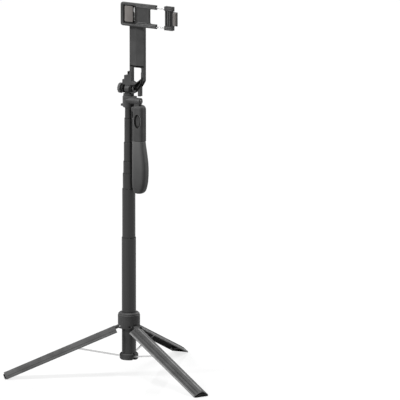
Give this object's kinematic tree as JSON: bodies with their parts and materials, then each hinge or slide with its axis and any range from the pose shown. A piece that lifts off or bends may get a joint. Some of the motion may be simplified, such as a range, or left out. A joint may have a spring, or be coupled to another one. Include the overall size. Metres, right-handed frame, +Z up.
{
  "type": "tripod selfie stick",
  "caption": "Telescoping selfie stick on a folding umbrella tripod, with a hinged hand grip that stores a remote and a tilting, rolling phone clamp.",
  "frame": {"origin": "on the mast axis, at the flat underside of the column's foot; the spread leg tips reach 24 mm below it", "axes": "+Z up the mast; +X along the clamp towards its sliding jaw, the side that the handle hangs on; -Y is the side that the phone rests on"},
  "size_m": [0.3113, 0.2927, 0.5345],
  "materials": {
    "black_plastic": "fine satin grain",
    "dark_plastic": "matt",
    "hub_plastic": "smooth satin",
    "tube_metal": "satin black coating",
    "steel": "bright",
    "black_steel": "black finish",
    "rubber": "matt",
    "grey_pad": "matt warm grey",
    "grip_rubber": "soft matt",
    "board": "solder mask"
  },
  "bodies": {
    "column": {"outer_tube": "tube_metal", "column_foot": "dark_plastic"},
    "hub": {"hub_collar": "hub_plastic", "knee_pin_1": "steel", "knee_pin_2": "steel", "knee_pin_3": "steel"},
    "leg_1": {"leg_1": "hub_plastic", "leg_tip_1": "rubber", "strut_pin_1": "steel"},
    "strut_1": {"strut_1": "steel"},
    "leg_2": {"leg_2": "hub_plastic", "leg_tip_2": "rubber", "strut_pin_2": "steel"},
    "strut_2": {"strut_2": "steel"},
    "leg_3": {"leg_3": "hub_plastic", "leg_tip_3": "rubber", "strut_pin_3": "steel"},
    "strut_3": {"strut_3": "steel"},
    "tube_1": {"mast_tube_1": "tube_metal"},
    "tube_2": {"mast_tube_2": "tube_metal"},
    "tube_3": {"mast_tube_3": "tube_metal"},
    "tube_4": {"mast_tube_4": "tube_metal"},
    "tube_5": {"mast_tube_5": "tube_metal"},
    "neck": {"mast_neck": "tube_metal", "head_block": "black_plastic", "neck_screw": "black_steel", "handle_pin": "black_steel"},
    "turntable": {"pan_base": "dark_plastic", "pan_screw": "black_steel"},
    "arm": {"tilt_arm": "black_plastic", "tilt_bolt": "black_steel", "roll_pin": "black_steel"},
    "knob": {"tilt_knob": "black_plastic"},
    "clamp": {"clamp_plate": "black_plastic", "clamp_cover": "dark_plastic", "fixed_lip_pin": "steel"},
    "fixed_lip": {"fixed_lip": "black_plastic", "fixed_lip_pad": "grey_pad"},
    "jaw": {"sliding_jaw": "black_plastic", "clamp_rod_lower": "steel", "clamp_rod_upper": "steel", "jaw_lip_pin": "steel"},
    "jaw_lip": {"jaw_lip": "black_plastic", "jaw_lip_pad": "grey_pad"},
    "handle": {"handle_frame": "black_plastic", "handle_grip": "grip_rubber"},
    "remote": {"remote_shell": "black_plastic", "remote_cover": "black_plastic", "remote_board": "board", "remote_cell": "steel"},
    "button": {"remote_button": "dark_plastic"}
  },
  "joints": [
    {"name": "hub_slide", "type": "slide", "parent": "column", "child": "hub", "axis": [0, 0, 1], "range_m": [0, 0.104]},
    {"name": "leg_1_fold", "type": "hinge", "parent": "hub", "child": "leg_1", "pos_m": [-0.01042, -0.00811, 0.0485], "axis": [0.6143, -0.7891, 0], "range_deg": [0, 67.75]},
    {"name": "strut_1_fold", "type": "hinge", "parent": "leg_1", "child": "strut_1", "pos_m": [-0.06506, -0.05065, 0.01841], "axis": [0.6143, -0.7891, 0], "range_deg": [-147.02, 0]},
    {"name": "leg_2_fold", "type": "hinge", "parent": "hub", "child": "leg_2", "pos_m": [0.01223, -0.00497, 0.0485], "axis": [0.3762, 0.9265, 0], "range_deg": [0, 67.75]},
    {"name": "strut_2_fold", "type": "hinge", "parent": "leg_2", "child": "strut_2", "pos_m": [0.07639, -0.03102, 0.01841], "axis": [0.3762, 0.9265, 0], "range_deg": [-147.02, 0]},
    {"name": "leg_3_fold", "type": "hinge", "parent": "hub", "child": "leg_3", "pos_m": [-0.00181, 0.01307, 0.0485], "axis": [-0.9905, -0.1374, 0], "range_deg": [0, 67.75]},
    {"name": "strut_3_fold", "type": "hinge", "parent": "leg_3", "child": "strut_3", "pos_m": [-0.01133, 0.08167, 0.01841], "axis": [-0.9905, -0.1374, 0], "range_deg": [-147.02, 0]},
    {"name": "tube_1_slide", "type": "slide", "parent": "column", "child": "tube_1", "axis": [0, 0, 1], "range_m": [-0.066, 0.067]},
    {"name": "tube_2_slide", "type": "slide", "parent": "tube_1", "child": "tube_2", "axis": [0, 0, 1], "range_m": [-0.019, 0.115]},
    {"name": "tube_3_slide", "type": "slide", "parent": "tube_2", "child": "tube_3", "axis": [0, 0, 1], "range_m": [-0.014, 0.12]},
    {"name": "tube_4_slide", "type": "slide", "parent": "tube_3", "child": "tube_4", "axis": [0, 0, 1], "range_m": [-0.024, 0.11]},
    {"name": "tube_5_slide", "type": "slide", "parent": "tube_4", "child": "tube_5", "axis": [0, 0, 1], "range_m": [-0.031, 0.102]},
    {"name": "neck_slide", "type": "slide", "parent": "tube_5", "child": "neck", "axis": [0, 0, 1], "range_m": [-0.0145, 0.12]},
    {"name": "head_pan", "type": "hinge", "parent": "neck", "child": "turntable", "pos_m": [0, 0, 0.3768], "axis": [0, 0, 1], "continuous": true},
    {"name": "arm_tilt", "type": "hinge", "parent": "turntable", "child": "arm", "pos_m": [0, 0, 0.3862], "axis": [1, 0, 0], "range_deg": [-110, 110]},
    {"name": "knob_turn", "type": "hinge", "parent": "arm", "child": "knob", "pos_m": [-0.014, 0, 0.3862], "axis": [1, 0, 0], "range_deg": [-180, 180]},
    {"name": "clamp_roll", "type": "hinge", "parent": "arm", "child": "clamp", "pos_m": [0.01475, -0.00405, 0.486], "axis": [0, 1, 0], "range_deg": [-90, 90]},
    {"name": "fixed_lip_fold", "type": "hinge", "parent": "clamp", "child": "fixed_lip", "pos_m": [0.01485, -0.00765, 0.4945], "axis": [0, 0, 1], "range_deg": [0, 90]},
    {"name": "jaw_slide", "type": "slide", "parent": "clamp", "child": "jaw", "axis": [1, 0, 0], "range_m": [-0.0129, 0.016]},
    {"name": "jaw_lip_fold", "type": "hinge", "parent": "jaw", "child": "jaw_lip", "pos_m": [0.07735, -0.00765, 0.4937], "axis": [0, 0, 1], "range_deg": [-90, 0]},
    {"name": "handle_swing", "type": "hinge", "parent": "neck", "child": "handle", "pos_m": [0.0145, -0.004, 0.3706], "axis": [1, 0, 0], "range_deg": [-90, 90]},
    {"name": "remote_slide", "type": "slide", "parent": "handle", "child": "remote", "axis": [0, 1, 0], "range_m": [0, 0.03]},
    {"name": "button_press", "type": "slide", "parent": "remote", "child": "button", "axis": [0, 1, 0], "range_m": [0, 0.0005], "stiffness_N_per_m": 400}
  ],
  "couplings": [
    {"joint": "leg_1_fold", "follows": "hub_slide", "rad_per_m": 11.353},
    {"joint": "strut_1_fold", "follows": "hub_slide", "rad_per_m": -24.656},
    {"joint": "leg_2_fold", "follows": "hub_slide", "rad_per_m": 11.353},
    {"joint": "strut_2_fold", "follows": "hub_slide", "rad_per_m": -24.656},
    {"joint": "leg_3_fold", "follows": "hub_slide", "rad_per_m": 11.353},
    {"joint": "strut_3_fold", "follows": "hub_slide", "rad_per_m": -24.656}
  ]
}
